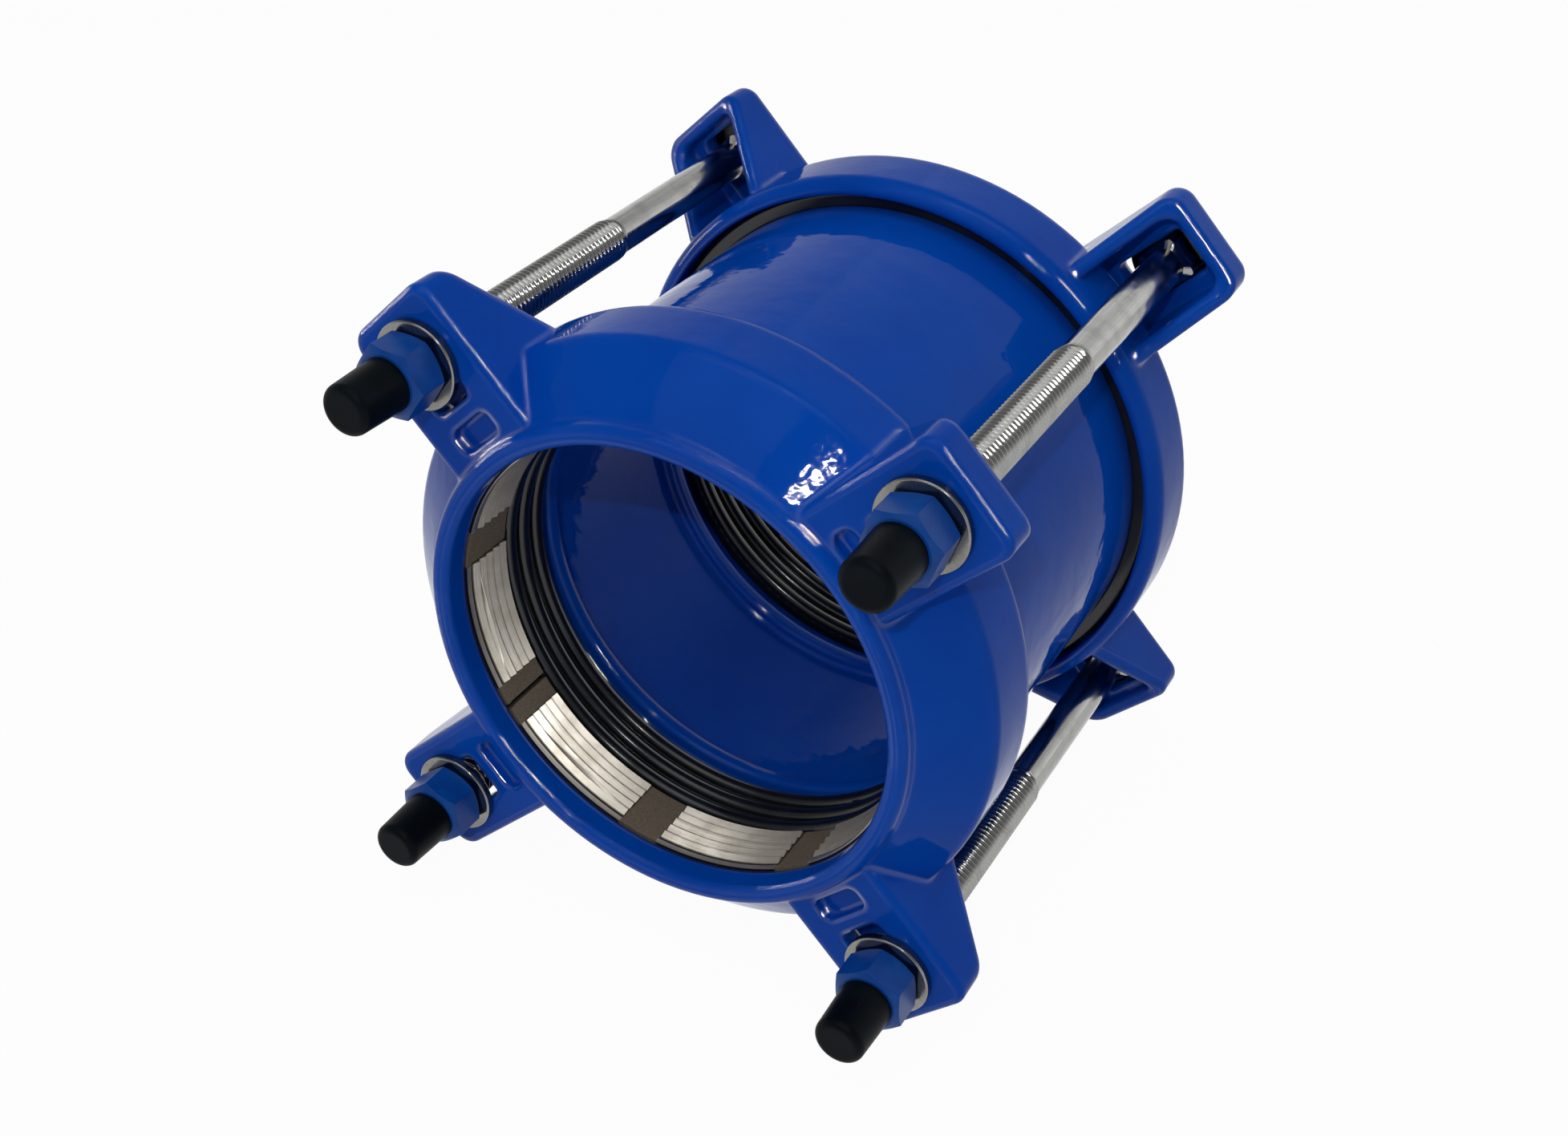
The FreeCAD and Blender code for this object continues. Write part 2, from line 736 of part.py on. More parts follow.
def make_nut(label):
    """Hexagon nut from y = 0 outwards, chamfered at both ends."""
    body = new_body(label)
    flat = of("nut_flats") / 2
    corner = of("nut_flats") / math.sqrt(3)
    height = of("nut_height")
    plan = new_sketch(body, "plan", "XZ_Plane")
    outline(
        plan,
        [
            (corner, 0),
            (corner / 2, flat),
            (-corner / 2, flat),
            (-corner, 0),
            (-corner / 2, -flat),
            (corner / 2, -flat),
        ],
    )
    feature(body, "Pad", "hexagon", plan, Length=height)
    bore = of("thread_radius") + of("thread_fit")
    mouth = bore + of("countersink")
    section = new_sketch(body, "bore_section", "XY_Plane")
    outline(
        section,
        [
            (0, 0),
            (mouth, 0),
            (bore, -of("countersink")),
            (bore, of("countersink") - height),
            (mouth, -height),
            (0, -height),
        ],
    )
    cut(body, "Groove", "bore", section, Angle=360)
    inner = flat - of("nut_chamfer")
    outer = corner + AXIS_CLEAR
    drop = (outer - inner) * CHAMFER_SLOPE
    for name, level, sign in (("seat", as_size(0), -1), ("face", -height, 1)):
        corner_section = new_sketch(body, f"{name}_section", "XY_Plane")
        outline(corner_section, [(inner, level), (outer, level), (outer, level + drop * sign)])
        cut(body, "Groove", f"{name}_chamfer", corner_section, Angle=360)
    return body


def make_cap(label):
    """Moulded cap over the bolt's tip, from y = 0 outwards."""
    body = new_body(label)
    inner = of("thread_radius") + of("thread_fit")
    base = inner + of("cap_wall")
    floor = -of("bolt_reach") - of("cap_space")
    end = floor - of("cap_top")
    section = new_sketch(body, "section", "XY_Plane")
    outline(
        section,
        [
            (inner, 0),
            (base, 0),
            (base - of("cap_draft"), end, of("cap_round")),
            (0, end),
            (0, floor),
            (inner - of("bolt_chamfer"), floor),
            (inner, floor + of("bolt_chamfer")),
        ],
    )
    feature(body, "Revolution", "moulding", section, Angle=360)
    return body


nodes = []

sleeve = make_sleeve("sleeve")
nodes.append(sleeve)

for end, sign, half_turn in ENDS:
    casting = make_end_ring(f"{end}_end_ring")
    stand(casting, 0, ring_seat * sign, 0, half_turn * turned(-of("lug_angle").value))
    gasket = make_gasket(f"{end}_gasket")
    stand(gasket, 0, sleeve_end * sign, 0, half_turn)
    grip = make_grip_ring(f"{end}_grip_ring")
    stand(grip, 0, ring_seat * sign, 0, half_turn * turned(-of("grip_turn").value))
    nodes.extend([casting, gasket, grip])

nut_seat = -ring_seat - of("washer_thickness")
for i in range(int(of("lug_count").value)):
    angle = of("lug_angle") + i * 360 / of("lug_count")
    x = bolt_circle * cosine(angle)
    z = bolt_circle * sine(angle)
    bolt = make_bolt(f"bolt_{i + 1}")
    stand(bolt, x, ring_seat, z, turned(-angle.value))
    washer = make_washer(f"washer_{i + 1}")
    stand(washer, x, -ring_seat, z, FreeCAD.Rotation())
    nut = make_nut(f"nut_{i + 1}")
    stand(nut, x, nut_seat, z, turned(NUT_TURNS[i % len(NUT_TURNS)]))
    cap = make_cap(f"cap_{i + 1}")
    stand(cap, x, nut_seat - of("nut_height"), z, FreeCAD.Rotation())
    nodes.extend([bolt, washer, nut, cap])

doc.recompute()

for thing in doc.Objects:
    if "Invalid" in thing.State or "Error" in thing.State:
        raise ValueError(f"{thing.Name} failed: {thing.State}")
for node in nodes:
    if node.Shape.isNull() or not node.Shape.isValid() or len(node.Shape.Solids) != 1:
        raise ValueError(f"{node.Label} is not one valid solid")

os.makedirs("parts", exist_ok=True)
for node in nodes:
    node.Shape.exportStep(f"parts/{node.Label}.step")
    box = node.Shape.BoundBox
    print(f"{node.Label}: {node.Shape.Volume:.0f} mm3, y {box.YMin:.2f} to {box.YMax:.2f}")
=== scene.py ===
import json
import math

import bmesh
import bpy
from mathutils import Matrix, Vector

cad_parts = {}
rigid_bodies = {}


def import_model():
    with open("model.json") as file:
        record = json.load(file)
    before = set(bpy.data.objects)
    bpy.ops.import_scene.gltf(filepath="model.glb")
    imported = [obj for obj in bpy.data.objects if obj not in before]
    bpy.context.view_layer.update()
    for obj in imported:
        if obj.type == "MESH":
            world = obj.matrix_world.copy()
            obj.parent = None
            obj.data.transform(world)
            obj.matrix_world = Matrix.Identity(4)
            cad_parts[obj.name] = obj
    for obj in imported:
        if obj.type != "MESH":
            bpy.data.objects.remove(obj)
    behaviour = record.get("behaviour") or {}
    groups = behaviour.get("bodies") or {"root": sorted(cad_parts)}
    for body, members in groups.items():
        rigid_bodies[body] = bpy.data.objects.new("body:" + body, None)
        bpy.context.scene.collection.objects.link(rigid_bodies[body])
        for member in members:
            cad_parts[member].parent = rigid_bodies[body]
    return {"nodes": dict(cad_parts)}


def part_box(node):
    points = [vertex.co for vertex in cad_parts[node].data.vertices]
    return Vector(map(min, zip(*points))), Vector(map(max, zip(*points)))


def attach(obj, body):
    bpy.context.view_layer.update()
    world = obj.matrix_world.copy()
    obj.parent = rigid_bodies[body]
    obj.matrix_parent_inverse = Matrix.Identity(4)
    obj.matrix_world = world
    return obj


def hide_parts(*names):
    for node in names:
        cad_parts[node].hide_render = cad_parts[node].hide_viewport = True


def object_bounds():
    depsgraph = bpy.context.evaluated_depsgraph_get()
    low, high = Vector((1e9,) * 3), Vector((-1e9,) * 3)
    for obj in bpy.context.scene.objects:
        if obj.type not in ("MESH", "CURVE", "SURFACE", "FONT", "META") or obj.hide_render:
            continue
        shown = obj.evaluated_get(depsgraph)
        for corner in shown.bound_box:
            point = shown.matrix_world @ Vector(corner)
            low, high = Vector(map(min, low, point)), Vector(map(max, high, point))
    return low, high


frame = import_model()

bl_info = {
    "name": "Restrained Pipe Coupling",
    "version": (1, 0, 0),
    "blender": (4, 5, 0),
    "location": "3D View > Sidebar > Coupling",
    "description": "Threads, paint, rubber, brass and steel for a restrained pipe coupling",
    "category": "Object",
}

# The coupling's axis is Y, the nuts are at its low Y end and Z is up. Metres.
CAD_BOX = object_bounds()
NODES = frame["nodes"]
ENDS = ("front", "rear")
FASTENERS = (1, 2, 3, 4)
CASTINGS = ("sleeve", "front_end_ring", "rear_end_ring")
GRIPS = ("front_grip_ring", "rear_grip_ring")

# The bolts' reach is taken from the solids, so that the drawn bolts keep to it.
BOLT_LOW, BOLT_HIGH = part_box("bolt_1")

# One turn of the thread: place as a share of the pitch, and height from root (0) to crest (1).
THREAD_PROFILE = ((0.0, 1.0), (0.125, 1.0), (0.41, 0.1), (0.5, 0.0), (0.625, 0.0), (0.715, 0.1))
# Turns over which the thread runs out into the shank.
RUN_OUT_TURNS = 1.5
# Rings of the shank beyond the thread and before the neck, which keep its shading even.
SHANK_EASE = (0.0006, 0.0016)
# Length in which the round shank turns into the square neck.
NECK_EASE = 0.0006
# How far inside its two edges the head's underside takes the painted shade of the thread's roots.
UNDERSIDE_SHADE_EASE = 0.0002
HEAD_STEPS = 8
SHARP_ANGLE = math.radians(70)
WELD = 1e-6

# Grip rings: the split's angle, the pads' pitch, width and soft edge in degrees, and the radii
# between which the bore turns into its edge and a land into a groove painted dark as shade.
GRIP_TURN = 214.3
PAD_PITCH = 45.0
PAD_ANGLE = 11.0
PAD_FADE = (-0.35, 0.05)
BORE_EDGE = (0.0645, 0.0648)
GROOVE_SHADE = (0.06405, 0.06432)

# How far the marks of turning lean the brass lands' mirror along the axis, and how unevenly.
MARK_LEAN = 0.14
MARK_SPREAD = 1.3

# Where the coat's softened normal leaves the face's own by this much (1 less their cosine), the
# gloss of the edges begins and is full.
EDGE_TURN = (0.001, 0.02)

WHITE = (1.0, 1.0, 1.0, 1.0)
FLOOR_REACH = 6.0
FLOOR_DROP = 0.0004
# Share of the floor, as it is seen, that is its own glow.
FLOOR_GLOW = 0.96
# The mirrored room darkens from the horizon up to this height, and later towards the rear.
ROOM_RISE = 0.6
ROOM_LEAN = 0.3


def measure(name, description, default):
    """A length that a user may change."""
    return bpy.props.FloatProperty(
        name=name, description=description, default=default, unit="LENGTH", precision=5
    )


def share(name, description, default):
    """A number from 0 to 1 that a user may change."""
    return bpy.props.FloatProperty(
        name=name, description=description, default=default, min=0.0, max=1.0, subtype="FACTOR"
    )


def tint(name, description, default):
    """A colour that a user may change, as linear values."""
    return bpy.props.FloatVectorProperty(
        name=name, description=description, default=default, min=0.0, max=1.0, subtype="COLOR"
    )


class BoltSizes(bpy.types.PropertyGroup):
    """Sizes of the drawn bolts."""

    thread_radius: measure("Thread Radius", "Crest of the thread", 0.006)
    root_radius: measure("Root Radius", "Root of the thread", 0.00488)
    pitch: measure("Pitch", "One turn of the thread", 0.00175)
    thread_length: measure("Thread Length", "Thread from the tip", 0.1115)
    tip_chamfer: measure("Tip Chamfer", "Chamfer at the tip", 0.0012)
    shank_radius: measure("Shank Radius", "Plain shank", 0.00535)
    neck_half: measure("Neck Half Width", "Half the width of the square neck", 0.006)
    neck_corner: measure("Neck Corner", "Rounded corners of the neck", 0.0012)
    neck_length: measure("Neck Length", "Length of the neck", 0.008)
    head_radius: measure("Head Radius", "Outside of the cup head", 0.013)
    head_height: measure("Head Height", "Height of the cup head", 0.0069)
    head_round: measure("Head Round", "Round of the cup head", 0.005)
    around: bpy.props.IntProperty(
        name="Segments", description="Segments around a bolt", default=48, min=16, max=96
    )


class PaintLook(bpy.types.PropertyGroup):
    """Looks of the epoxy on the castings."""

    colour: tint("Colour", "Blue of the epoxy", (0.001, 0.072, 0.48))
    deep: tint("Deep Colour", "Blue where the coat lies thicker", (0.0008, 0.06, 0.43))
    roughness: share("Roughness", "Sheen of the coat", 0.025)
    gloss: share("Gloss", "How much the coat mirrors where it lies flat", 0.045)
    edge_gloss: share("Edge Gloss", "How much it mirrors round the edges", 0.4)
    peel: share("Orange Peel", "Fine waves in the coat", 0.12)
    swell: share("Swell", "Broad unevenness of the cast skin", 0.5)
    softening: measure("Edge Softening", "Radius that the coat gives to edges", 0.0025)


class MetalLook(bpy.types.PropertyGroup):
    """Looks of the bare and coated metal."""

    steel: tint("Steel", "Zinc on bolts", (0.36, 0.36, 0.347))
    # Painted shade: the thread's roots and the bolt head's underside take this dark colour.
    root: tint("Thread Root", "Dark roots of the threads", (0.028, 0.027, 0.026))
    washer: tint("Washer", "Zinc on washers", (0.27, 0.262, 0.243))
    brass: tint("Brass", "Cut lands of the grip rings", (0.54, 0.505, 0.44))
    cast: tint("Cast Skin", "Plain pads of the grip rings", (0.19, 0.148, 0.1))
    nut: tint("Nut", "Coating on the nuts", (0.001, 0.052, 0.29))


class DarkLook(bpy.types.PropertyGroup):
    """Looks of the rubber and the plastic."""

    rubber: tint("Rubber", "Gaskets", (0.0055, 0.0066, 0.009))
    plastic: tint("Plastic", "Caps", (0.002, 0.0036, 0.0055))


class StudioLook(bpy.types.PropertyGroup):
    """Floor, lights and camera."""

    floor: tint("Floor", "Floor and the room's lower part", (0.92, 0.92, 0.92))
    dome: bpy.props.FloatProperty(
        name="Dome", description="Soft light from the room", default=0.22, min=0.0, max=1.0
    )
    ceiling: bpy.props.FloatProperty(
        name="Ceiling", description="Room above, as it is mirrored", default=0.25, min=0.0, max=1.0
    )
    lens: bpy.props.FloatProperty(
        name="Lens", description="Focal length", default=44.324, min=10.0, max=200.0, unit="CAMERA"
    )


class Wire:
    """An output socket that can stand in a sum of values."""

    def __init__(self, finish, socket):
        self.finish = finish
        self.socket = socket

    def __add__(self, other):
        return self.finish.math("ADD", self, other)

    def __radd__(self, other):
        return self.finish.math("ADD", other, self)

    def __sub__(self, other):
        return self.finish.math("SUBTRACT", self, other)

    def __rsub__(self, other):
        return self.finish.math("SUBTRACT", other, self)

    def __mul__(self, other):
        return self.finish.math("MULTIPLY", self, other)

    def __rmul__(self, other):
        return self.finish.math("MULTIPLY", other, self)

    def __truediv__(self, other):
        return self.finish.math("DIVIDE", self, other)

    def __rtruediv__(self, other):
        return self.finish.math("DIVIDE", other, self)

    def __pow__(self, other):
        return self.finish.math("POWER", self, other)

    def __rpow__(self, other):
        return self.finish.math("POWER", other, self)

    def __abs__(self):
        return self.finish.math("ABSOLUTE", self)


class Finish:
    """A tree of shader nodes being put together."""

    def __init__(self, tree):
        self.tree = tree
        tree.nodes.clear()

    def node(self, kind, settings=None, sockets=None, output=0):
        """Adds a node: its settings first, then the values and links of its sockets."""
        made = self.tree.nodes.new("ShaderNode" + kind)
        for key, value in (settings or {}).items():
            setattr(made, key, value)
        for key, value in (sockets or {}).items():
            if isinstance(value, Wire):
                self.tree.links.new(value.socket, made.inputs[key])
            else:
                made.inputs[key].default_value = value
        return Wire(self, made.outputs[output] if len(made.outputs) else None)

    def place(self):
        """Where a point is on the coupling."""
        return self.node("TexCoord", output=3)

    def parts(self, vector):
        """The three coordinates of a vector."""
        split = self.node("SeparateXYZ", None, {0: vector})
        outputs = split.socket.node.outputs
        return [Wire(self, socket) for socket in outputs]

    def noise(self, place, scale, detail=2.0, roughness=0.5, stretch=None):
        """Noise from 0 to 1, of so many waves to the metre."""
        if stretch is not None:
            place = self.node("VectorMath", {"operation": "MULTIPLY"}, {0: place, 1: stretch})
        return self.node(
            "TexNoise",
            None,
            {"Vector": place, "Scale": scale, "Detail": detail, "Roughness": roughness},
        )

    def ease(self, value, start, end):
        """0 before start, 1 after end and a smooth rise between."""
        return self.node(
            "MapRange",
            {"interpolation_type": "SMOOTHSTEP"},
            {"Value": value, 1: start, 2: end},
        )

    def math(self, operation, *terms):
        """A function of one or two values."""
        return self.node("Math", {"operation": operation}, dict(enumerate(terms)))

    def blend(self, share, first, second):
        """The first colour where share is 0 and the second where it is 1."""
        return self.node("Mix", {"data_type": "RGBA"}, {0: share, 6: first, 7: second}, output=2)

    def soft(self, radius, samples=6):
        """The normal as if edges had that radius."""
        return self.node("Bevel", {"samples": samples}, {"Radius": radius})

    def bump(self, height, distance, strength, normal=None):
        """The normal over a relief of so many metres."""
        sockets = {"Height": height, "Distance": distance, "Strength": strength}
        if normal is not None:
            sockets["Normal"] = normal
        return self.node("Bump", None, sockets)

    def rays(self):
        """1 or 0 for a ray from the camera, for one by gloss and for one through glass."""
        path = self.node("LightPath").socket.node.outputs
        kinds = ("Is Camera Ray", "Is Glossy Ray", "Is Transmission Ray")
        return [Wire(self, path[kind]) for kind in kinds]

    def seen(self):
        """1 for what the camera sees, also by gloss and through glass, and 0 for soft light."""
        straight, glossy, through = self.rays()
        total = {0: straight + glossy, 1: through}
        return self.node("Math", {"operation": "ADD", "use_clamp": True}, total)

    def coat(self, **sockets):
        """The shader of a surface, with its sockets' names written with underscores."""
        named = {key.replace("_", " "): value for key, value in sockets.items()}
        return self.node("BsdfPrincipled", None, named)

    def end(self, shader):
        """Ends a material with its shader."""
        self.node("OutputMaterial", None, {"Surface": shader})

    def surface(self, **sockets):
        """Ends a material that has one coat."""
        self.end(self.coat(**sockets))


def rgba(colour):
    return (*colour, 1.0)


def shade(colour, *shares):
    """A colour made darker or paler: by one share, or by one for each channel."""
    shares = shares if len(shares) == 3 else shares * 3
    return rgba(share * channel for share, channel in zip(shares, colour))


def new_finish(name):
    material = bpy.data.materials.new(name)
    material.use_nodes = True
    return material, Finish(material.node_tree)


def dress(nodes, material):
    """Gives CAD nodes a better material in their own slots."""
    for name in nodes:
        for slot in NODES[name].material_slots:
            slot.material = material


def glossy_epoxy(look):
    """Thick glossy blue coat over a casting."""
    material, f = new_finish("glossy_blue_epoxy")
    place = f.place()
    cloud = f.noise(place, 24.0, 3.0)
    fine = f.noise(place, 310.0, 2.0)
    swell = f.noise(place, 85.0, 3.0, 0.5)
    dust = f.noise(place, 1500.0, 1.0)
    colour = f.blend(f.ease(cloud, 0.35, 0.72), rgba(look.colour), rgba(look.deep))
    roughness = look.roughness + 0.03 * cloud + 0.05 * f.ease(dust, 0.66, 0.74)
    soft = f.soft(look.softening, samples=8)
    waves = f.bump(swell, 0.00055, look.swell, soft)
    skin = f.bump(fine, 0.00009, look.peel, waves)
    true = f.node("NewGeometry", output=1)
    along = f.node("VectorMath", {"operation": "DOT_PRODUCT"}, {0: soft, 1: true}, output=1)
    edge = f.ease(1.0 - along, *EDGE_TURN)
    faces, edges = (
        f.coat(Base_Color=colour, Roughness=roughness, Specular_IOR_Level=gloss, Normal=skin)
        for gloss in (look.gloss, look.edge_gloss)
    )
    f.end(f.node("MixShader", None, {0: edge, 1: faces, 2: edges}))
    return material


def washer_zinc(look):
    """Zinc with fine marks and duller clouds."""
    material, f = new_finish("zinc_washer")
    place = f.place()
    streak = f.noise(place, 2200.0, 2.0, 0.6)
    cloud = f.noise(place, 120.0, 3.0)
    mark = f.ease(streak, 0.3, 0.75)
    worn = 0.35 * mark + 0.45 * f.ease(cloud, 0.42, 0.7)
    f.surface(
        Base_Color=f.blend(worn, rgba(look.washer), shade(look.washer, 0.62)),
        Metallic=1.0,
        Roughness=0.18 + 0.12 * f.ease(cloud, 0.35, 0.75) + 0.06 * (mark - 0.5),
        Normal=f.bump(streak, 0.00002, 0.25),
    )
    return material


def rolled_steel(look):
    """Bolts: bright crests and flanks, painted shade in the roots and under the head, and a satin
    shank.
    """
    material, f = new_finish("zinc_bolt")
    place = f.place()
    streak = f.noise(place, 2600.0, 2.0, 0.6, (1.0, 0.035, 1.0))
    cloud = f.noise(place, 150.0, 3.0)
    height = f.node("Attribute", {"attribute_name": "painted_shade_height"}, output=2)
    worn = 0.3 * f.ease(streak, 0.35, 0.7) + 0.35 * f.ease(cloud, 0.45, 0.7)
    tone = f.blend(worn, rgba(look.steel), shade(look.steel, 0.6))
    # Painted shade: where the height is low, in the thread's roots and under the head, the steel
    # is painted dark.
    tone = f.blend(1.0 - f.ease(height, 0.0, 0.45), tone, rgba(look.root))
    f.surface(
        Base_Color=tone,
        Metallic=1.0,
        Roughness=0.1 + 0.1 * f.ease(cloud, 0.35, 0.75) + 0.05 * f.ease(streak, 0.3, 0.8),
        Normal=f.bump(streak, 0.000015, 0.3),
    )
    return material


def grip_brass(look, end):
    """Cut lands between grooves painted dark as shade, and plain pads left as cast."""
    material, f = new_finish(f"{end}_grip_brass")
    place = f.place()
    x, y, z = f.parts(place)
    radius = (x * x + z * z) ** 0.5
    sign = 1.0 if end == "front" else -1.0
    angle = f.math("ARCTAN2", z, sign * x)
    steps = (angle * (180.0 / math.pi) - GRIP_TURN) / PAD_PITCH + 0.5
    turn = f.math("FLOORED_MODULO", steps, 1.0)
    ragged = f.noise(place, 900.0, 2.0) - 0.5
    away = abs(turn - 0.5) * PAD_PITCH + 0.5 * ragged
    pad = 1.0 - f.ease(away, *(PAD_ANGLE / 2 + fade for fade in PAD_FADE))
    bore_edge = f.ease(radius, *BORE_EDGE)
    # Painted shade: past these radii the grooves between the lands are painted dark.
    depth = f.ease(radius, *GROOVE_SHADE)
    streak = f.noise(place, 3000.0, 2.0, 0.6, (0.12, 1.0, 0.12))
    cloud = f.noise(place, 160.0, 3.0)
    grit = f.noise(place, 2400.0, 3.0)
    wear = 0.55 * f.ease(cloud, 0.4, 0.68) + 0.25 * f.ease(streak, 0.4, 0.7)
    land = f.blend(wear, rgba(look.brass), shade(look.brass, 0.74, 0.70, 0.66))
    # Painted shade: the grooves between the lands are painted near black.
    land = f.blend(depth, land, shade(look.cast, 0.08))
    skin = f.blend(f.ease(grit, 0.35, 0.7), rgba(look.cast), shade(look.cast, 0.6))
    tone = f.blend(f.math("MAXIMUM", pad, bore_edge), land, skin)
    rows = {"W": y, "Scale": 9000.0, "Detail": 2.0}
    marks = f.node("TexNoise", {"noise_dimensions": "1D"}, rows)
    lean = (1.0 - pad) * (1.0 - bore_edge) * (MARK_LEAN + MARK_SPREAD * (marks - 0.5))
    lean = f.node("CombineXYZ", None, {1: -sign * lean})
    bumped = f.bump(streak * (1.0 - pad) + grit * pad, 0.00003, 0.3)
    turned = f.node("VectorMath", {"operation": "ADD"}, {0: bumped, 1: lean})
    f.surface(
        Base_Color=tone,
        Metallic=0.85 - 0.6 * pad,
        Roughness=0.34 + 0.1 * f.ease(cloud, 0.35, 0.7) + 0.3 * pad,
        Normal=f.node("VectorMath", {"operation": "NORMALIZE"}, {0: turned}),
    )
    return material


def satin_coating(look):
    """Thin satin blue coating on the nuts."""
    material, f = new_finish("satin_nut_coating")
    place = f.place()
    cloud = f.noise(place, 210.0, 3.0)
    fine = f.noise(place, 1700.0, 2.0)
    pale = shade(look.nut, 1.6, 1.3, 1.15)
    f.surface(
        Base_Color=f.blend(f.ease(cloud, 0.35, 0.7), rgba(look.nut), pale),
        Roughness=0.26 + 0.12 * cloud,
        Specular_IOR_Level=0.2,
        Normal=f.bump(fine, 0.00004, 0.2, f.soft(0.0004)),
    )
    return material


def satin_dark(name, colour, roughness, gloss, scale, depth, softening):
    """Moulded rubber or plastic with a fine grain."""
    material, f = new_finish(name)
    place = f.place()
    grain = f.noise(place, scale, 3.0)
    cloud = f.noise(place, 90.0, 2.0)
    f.surface(
        Base_Color=f.blend(f.ease(cloud, 0.35, 0.75), rgba(colour), shade(colour, 1.9)),
        Roughness=roughness + 0.14 * (cloud - 0.5) + 0.1 * (grain - 0.5),
        Specular_IOR_Level=gloss,
        Normal=f.bump(grain, depth, 0.4, f.soft(softening)),
    )
    return material


def thread_stations(sizes):
    """Corners of the thread's profile: (place from the tip, radius), from before the tip on."""
    reach = sizes.thread_radius - sizes.root_radius
    turns = range(-2, int(sizes.thread_length / sizes.pitch) + 3)
    return [
        (sizes.pitch * (turn + along), sizes.root_radius + reach * height)
        for turn in turns
        for along, height in THREAD_PROFILE
    ]


def square_radius(angle, half, corner):
    """Distance from the axis to a rounded square's side at that angle."""
    quarter = (angle + math.pi / 4) % (math.pi / 2) - math.pi / 4
    straight = half / math.cos(quarter)
    centre = half - corner
    if half * abs(math.tan(quarter)) <= centre:
        return straight
    toward = math.pi / 4 - abs(quarter)
    reach = centre * math.sqrt(2)
    return reach * math.cos(toward) + math.sqrt(
        max(corner**2 - (reach * math.sin(toward)) ** 2, 0.0)
    )


def bolt_column(sizes, stations, length, turned):
    """Corners down one side of a bolt, at a share of a turn: (y, radius, height of the thread,
    which also sets the painted shade, 0 under the head).
    """
    thread_end = sizes.thread_length
    run_out = RUN_OUT_TURNS * sizes.pitch
    reach = sizes.thread_radius - sizes.root_radius
    column = []
    for place, radius in stations:
        y = min(max(place + sizes.pitch * turned, 0.0), thread_end)
        left = min(max((thread_end - y) / run_out, 0.0), 1.0)
        radius = sizes.shank_radius + (radius - sizes.shank_radius) * left
        cone = sizes.thread_radius - sizes.tip_chamfer + y
        radius = min(radius, cone)
        column.append((y, radius, (radius - sizes.root_radius) / reach))
    neck = square_radius(2 * math.pi * turned, sizes.neck_half, sizes.neck_corner)
    neck_start = length - sizes.neck_length
    head, rounding = sizes.head_radius, sizes.head_round
    edge = length + sizes.head_height - rounding
    column += [
        (thread_end + SHANK_EASE[0], sizes.shank_radius, 1.0),
        (neck_start - SHANK_EASE[1], sizes.shank_radius, 1.0),
        (neck_start - NECK_EASE, sizes.shank_radius, 1.0),
        (neck_start, neck, 1.0),
        (length, neck, 1.0),
        # Painted shade: the head's underside gets height 0, the dark of the thread's roots.
        (length, neck + UNDERSIDE_SHADE_EASE, 0.0),
        (length, head - UNDERSIDE_SHADE_EASE, 0.0),
        (length, head, 1.0),
        (edge, head, 1.0),
    ]
    for step in range(1, HEAD_STEPS + 1):
        bend = math.pi / 2 * step / HEAD_STEPS
        y = edge + rounding * math.sin(bend)
        column.append((y, head - rounding * (1 - math.cos(bend)), 1.0))
    return column


def close_end(mesh, level):
    """Closes a bolt's end at that height with one flat face."""
    ends = [v for v in mesh.verts if abs(v.co.y - level) < WELD]
    outer = max(math.hypot(v.co.x, v.co.z) for v in ends)
    rim = [v for v in ends if math.hypot(v.co.x, v.co.z) > outer - 10 * WELD]
    rim.sort(key=lambda v: math.atan2(v.co.z, v.co.x))
    mesh.faces.new(rim)


def bolt_mesh(name, sizes):
    """A whole bolt with its helical thread, tip at y = 0 and head towards +Y."""
    length = BOLT_HIGH.y - BOLT_LOW.y - sizes.head_height
    stations = thread_stations(sizes)
    mesh = bmesh.new()
    # Height of the thread at each corner, which also sets the painted shade.
    painted_shade_heights = mesh.verts.layers.float.new("painted_shade_height")
    count = sizes.around
    grid = []
    for j in range(count):
        angle = 2 * math.pi * j / count
        line = []
        for y, radius, height in bolt_column(sizes, stations, length, j / count):
            vert = mesh.verts.new((radius * math.cos(angle), y, radius * math.sin(angle)))
            vert[painted_shade_heights] = height
            line.append(vert)
        grid.append(line)
    last = len(stations) - 1
    for j, here in enumerate(grid):
        there = grid[(j + 1) % count]
        # After a whole turn the thread meets its own next turn.
        shift = len(THREAD_PROFILE) if j == count - 1 else 0
        for i in range(last - shift):
            mesh.faces.new((here[i], here[i + 1], there[i + 1 + shift], there[i + shift]))
        for i in range(last - shift, last):
            mesh.faces.new((here[i], here[i + 1], there[last]))
        for i in range(last, len(here) - 1):
            mesh.faces.new((here[i], here[i + 1], there[i + 1], there[i]))
    bmesh.ops.remove_doubles(mesh, verts=mesh.verts, dist=2 * WELD)
    bmesh.ops.dissolve_degenerate(mesh, dist=WELD, edges=mesh.edges)
    close_end(mesh, 0.0)
    close_end(mesh, length + sizes.head_height)
    bmesh.ops.recalc_face_normals(mesh, faces=mesh.faces)
    data = bpy.data.meshes.new(name)
    mesh.to_mesh(data)
    mesh.free()
    data.polygons.foreach_set("use_smooth", [True] * len(data.polygons))
    data.set_sharp_from_angle(angle=SHARP_ANGLE)
    return data


class COUPLING_OT_castings(bpy.types.Operator):
    """Paints the two end rings and the sleeve with glossy epoxy"""

    bl_idname = "coupling.castings"
    bl_label = "Paint Castings"

    def execute(self, context):
        epoxy = glossy_epoxy(context.scene.coupling_paint)
        dress(CASTINGS, epoxy)
        return {"FINISHED"}


